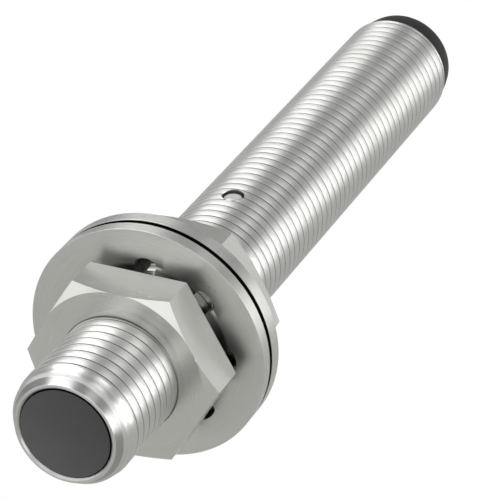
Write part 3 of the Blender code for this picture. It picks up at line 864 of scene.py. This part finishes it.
def make_light_guide():
    """Upright rod with a wider foot and a domed top."""
    foot = [        # (radius, z from the bottom)
        (0, 0.0), (1.4, 0.0), (1.5, 0.1), (1.5, 0.4), (1.0, 0.6), (1.0, 0.8),
    ]
    dome = [        # (radius, z from the top)
        (1.0, -0.34), (0.95, -0.25), (0.82, -0.13), (0.6, -0.05), (0.35, 0.0), (0, 0.0),
    ]
    profile = [(radius, GUIDE_BOTTOM + z) for radius, z in foot]
    profile += [(radius, GUIDE_TOP + z) for radius, z in dome]
    add_part(
        "light_guide_rod", lathe(profile, 40, "Z", (0.0, GUIDE_Y)),
        "barrel", mat_guide, "light_guide", sharp=50.0,
    )


make_cap()
make_light_guide()


# =====================================================================================
# connector end
# =====================================================================================
INSERT_SHARP = 35.0
BODY_R = 4.65                           # the part inside the barrel
GROOVE_R = 4.12
GROOVE_START, GROOVE_END = 74.6, 75.4
FLANGE_Y = BARREL_END + 0.1
SOCKET_R, SOCKET_FLOOR = 3.95, 76.6
KEY_SIZE = (1.1, 7.6, 1.05)
KEY_CENTRE = (0, 80.1, -3.725)

INSERT_CORNERS = [      # (radius, y, rounding)
    (0, INSERT_START, 0), (BODY_R, INSERT_START, 0.2),
    (BODY_R, GROOVE_START, 0.05), (GROOVE_R, GROOVE_START, 0.05),
    (GROOVE_R, GROOVE_END, 0.05), (BODY_R, GROOVE_END, 0.05),
    (BODY_R, FLANGE_Y, 0.05), (INSERT_R, FLANGE_Y, 0.07),
    (INSERT_R - 0.10, FLANGE_Y + 1.55, 0.5), (INSERT_R - 0.34, INSERT_END - 0.45, 0.35),
    (5.12, INSERT_END, 0.16), (SOCKET_R, INSERT_END, 0.12),
    (SOCKET_R, SOCKET_FLOOR, 0.15), (0, SOCKET_FLOOR, 0),
]


def key_tool():
    """Rounded bar along the bottom of the socket."""
    bm = bmesh.new()
    verts = bmesh.ops.create_cube(bm, size=1.0)["verts"]
    bmesh.ops.scale(bm, vec=KEY_SIZE, verts=verts)
    bmesh.ops.translate(bm, vec=KEY_CENTRE, verts=verts)
    bmesh.ops.bevel(bm, geom=bm.edges[:], offset=0.12, segments=2, affect="EDGES")
    return add_solid("key_tool", bm)


def pin_hole_tool(pin):
    """Hole with a countersunk mouth in the socket floor."""
    hole_r, mouth_r = pin.radius + 0.06, pin.radius + 0.22
    bottom, top = 72.0, SOCKET_FLOOR + 0.15
    profile = [
        (0, bottom), (hole_r, bottom), (hole_r, SOCKET_FLOOR - 0.15), (mouth_r, top), (0, top),
    ]
    return add_solid("pin_hole_tool", lathe(profile, 24, "Y", (pin.x, pin.z)))


def make_insert():
    insert = add_part(
        "connector_insert_moulded", lathe(fillet(INSERT_CORNERS), 112),
        "barrel", mat_insert, "connector_insert", sharp=INSERT_SHARP,
    )
    cut(insert, key_tool(), "UNION")
    for pin in PINS:
        cut(insert, pin_hole_tool(pin))
    smooth(insert, INSERT_SHARP)


def make_pin(node, pin):
    start, end, radius = pin.start, pin.end, pin.radius
    profile = [     # (radius, y)
        (0, start), (0.34, start), (0.4, start + 0.06), (radius, start + 0.2),
        (radius, end - 0.62), (radius - 0.03, end - 0.5), (radius - 0.10, end - 0.25),
        (radius - 0.22, end - 0.08), (0.16, end), (0, end),
    ]
    add_part(
        node + "_turned", lathe(profile, 32, "Y", (pin.x, pin.z)),
        "barrel", mat_gold, node, sharp=40.0,
    )


make_insert()
for pin_node, pin_at in zip(PIN_NODES, PINS):
    make_pin(pin_node, pin_at)


# =====================================================================================
# internals: CAD pieces kept as they are, with new materials
# =====================================================================================
INTERNALS = {
    "ferrite_core": mat_ferrite, "coil_bobbin": mat_bobbin, "coil_winding": mat_copper,
    "shield_ring": mat_brass, "core_holder": mat_holder, "coil_lead_1": mat_copper,
    "coil_lead_2": mat_copper, "front_seal_ring": mat_oring, "circuit_board": mat_board,
    "sensor_ic": mat_chip, "output_transistor": mat_chip, "protection_diode": mat_chip,
    "resistor_1": mat_resistor, "resistor_2": mat_resistor, "capacitor_1": mat_capacitor,
    "capacitor_2": mat_capacitor, "status_led": mat_led, "potting_plug": mat_potting,
    "supply_wire": mat_brown, "output_wire": mat_black, "ground_wire": mat_blue,
    "rear_seal_ring": mat_oring,
}
for internal_node, internal_material in INTERNALS.items():
    slots = frame["nodes"][internal_node].data.materials
    slots.clear()
    slots.append(internal_material)


# =====================================================================================
# stage, in metres: floor, studio surroundings, camera
# =====================================================================================
def floor_material():
    """Pale grey to light, plain white to the camera, and clear from below."""
    mat = Material("floor_white")
    mat.set(Base_Color=(0.41, 0.41, 0.40, 1.0), Roughness=0.9)
    path = mat.node("ShaderNodeLightPath")
    geometry = mat.node("ShaderNodeNewGeometry")
    white = mat.node("ShaderNodeEmission", Color=(1.0, 1.0, 1.0, 1.0), Strength=1.0)
    clear = mat.node("ShaderNodeBsdfTransparent")
    seen = mat.mix_shader(
        path.outputs["Is Camera Ray"], mat.shader.outputs[0], white.outputs[0],
    )
    both = mat.mix_shader(geometry.outputs["Backfacing"], seen, clear.outputs[0])
    mat.feed(both, mat.tree.nodes["Material Output"].inputs["Surface"])
    return mat.data


def make_floor():
    bm = bmesh.new()
    bmesh.ops.create_grid(bm, x_segments=12, y_segments=12, size=0.75)
    obj = add_object("floor", bm)
    obj.location = (0.0, 0.04, -0.13)
    obj.data.materials.append(floor_material())


BASE_LIGHT = 0.40
LEAST_LIGHT = 0.02
STRIP_END_FADE = 0.12       # in the direction's Y component
# Strip lights: angle round the barrel from straight up towards +X, half width and fade, in
# degrees; then the Y component of the direction, from and to; then brightness.
STRIPS = [
    (-30.0, 10.0, 16.0, 0.10, 0.46, 8.6),       # long box above, left
    (27.0, 2.0, 12.0, 0.10, 0.46, 3.4),         # narrow strip above, right of the top
    (82.0, 4.0, 20.0, 0.10, 0.46, 8.0),         # long box on the right side
    (-24.0, 14.0, 14.0, -0.70, -0.16, 0.8),     # weaker front end, left
    (78.0, 6.0, 16.0, -0.70, -0.06, 1.5),       # weaker front end, right
]
# Round lights: direction, half angle and fade in degrees, brightness.
LIGHTS = [
    ((-0.05, -0.98, 0.19), 25.0, 9.0, 1.0),     # in front, just above the floor
    ((-0.85, -0.45, 0.25), 14.0, 20.0, 0.9),    # fill from the left
    ((0.74, -0.32, 0.60), 7.0, 8.0, 0.6),       # small, above, right
    ((0.60, 0.80, 0.06), 8.0, 16.0, 0.40),      # glow behind, right
    ((0.35, -0.54, 0.77), 8.0, 8.0, 1.0),       # small, above, in front
]


def spot_light(graph, direction, centre, half, fade, amount):
    """Brightness by the angle between the direction and the light's centre."""
    dot = graph.node("ShaderNodeVectorMath", operation="DOT_PRODUCT")
    graph.feed(direction, dot.inputs[0])
    dot.inputs[1].default_value = centre
    dark, bright = math.cos(math.radians(half + fade)), math.cos(math.radians(half))
    return graph.smooth_step(dot.outputs["Value"], dark, bright, high=amount)


def make_world():
    """Grey room with strip lights along the barrel and round soft lights, as a function of
    direction. The camera itself sees plain white."""
    world = bpy.data.worlds.new("studio")
    bpy.context.scene.world = world
    world.use_nodes = True
    world.node_tree.nodes.clear()
    graph = Graph(world.node_tree)

    direction = graph.node("ShaderNodeTexCoord").outputs["Generated"]
    x, y, z = graph.separate(direction)
    norm = graph.node("ShaderNodeVectorMath", operation="NORMALIZE")
    graph.feed(graph.combine(x=x, z=z), norm.inputs[0])
    round_barrel = norm.outputs[0]

    total = graph.calc("ADD", BASE_LIGHT, 0.0)
    for angle, half, fade, y_from, y_to, amount in STRIPS:
        turn = math.radians(angle)
        centre = (math.sin(turn), 0.0, math.cos(turn))
        across = spot_light(graph, round_barrel, centre, half, fade, amount)
        start = graph.smooth_step(y, y_from - STRIP_END_FADE, y_from + STRIP_END_FADE)
        end = graph.smooth_step(
            y, y_to - STRIP_END_FADE, y_to + STRIP_END_FADE, low=1.0, high=0.0,
        )
        ends = graph.calc("MULTIPLY", start, end)
        total = graph.calc("ADD", total, graph.calc("MULTIPLY", across, ends))
    for vector, half, fade, amount in LIGHTS:
        centre = Vector(vector).normalized()
        light = spot_light(graph, direction, centre, half, fade, amount)
        total = graph.calc("ADD", total, light)
    total = graph.calc("MAXIMUM", total, LEAST_LIGHT)

    path = graph.node("ShaderNodeLightPath")
    room = graph.node("ShaderNodeBackground", Color=(1.0, 1.0, 0.992, 1.0))
    graph.feed(total, room.inputs["Strength"])
    white = graph.node("ShaderNodeBackground", Color=(1.0, 1.0, 1.0, 1.0))
    seen = graph.mix_shader(path.outputs["Is Camera Ray"], room.outputs[0], white.outputs[0])
    graph.feed(seen, graph.node("ShaderNodeOutputWorld").inputs["Surface"])


CAMERA_PLACE = (0.10779, -0.20551, 0.14837)
CAMERA_AZIMUTH = math.radians(23.58)        # from the front towards the right (+X)
CAMERA_ELEVATION = math.radians(29.22)


def make_camera():
    """Long lens in front, to the right and above, looking down at the barrel."""
    data = bpy.data.cameras.new("camera")
    camera = bpy.data.objects.new("camera", data)
    bpy.context.scene.collection.objects.link(camera)
    data.sensor_width = 36.0
    data.lens = 221.45
    data.clip_start = 0.01
    data.clip_end = 10.0
    level = math.cos(CAMERA_ELEVATION)
    forward = Vector((
        -math.sin(CAMERA_AZIMUTH) * level,
        math.cos(CAMERA_AZIMUTH) * level,
        -math.sin(CAMERA_ELEVATION),
    ))
    right = Vector((math.cos(CAMERA_AZIMUTH), math.sin(CAMERA_AZIMUTH), 0.0))
    up = right.cross(forward)
    turn = Matrix((right, up, -forward)).transposed()
    camera.matrix_world = Matrix.Translation(CAMERA_PLACE) @ turn.to_4x4()
    bpy.context.scene.camera = camera


make_floor()
make_world()
make_camera()
bpy.context.scene.view_settings.view_transform = "Standard"
bpy.context.scene.view_settings.look = "None"
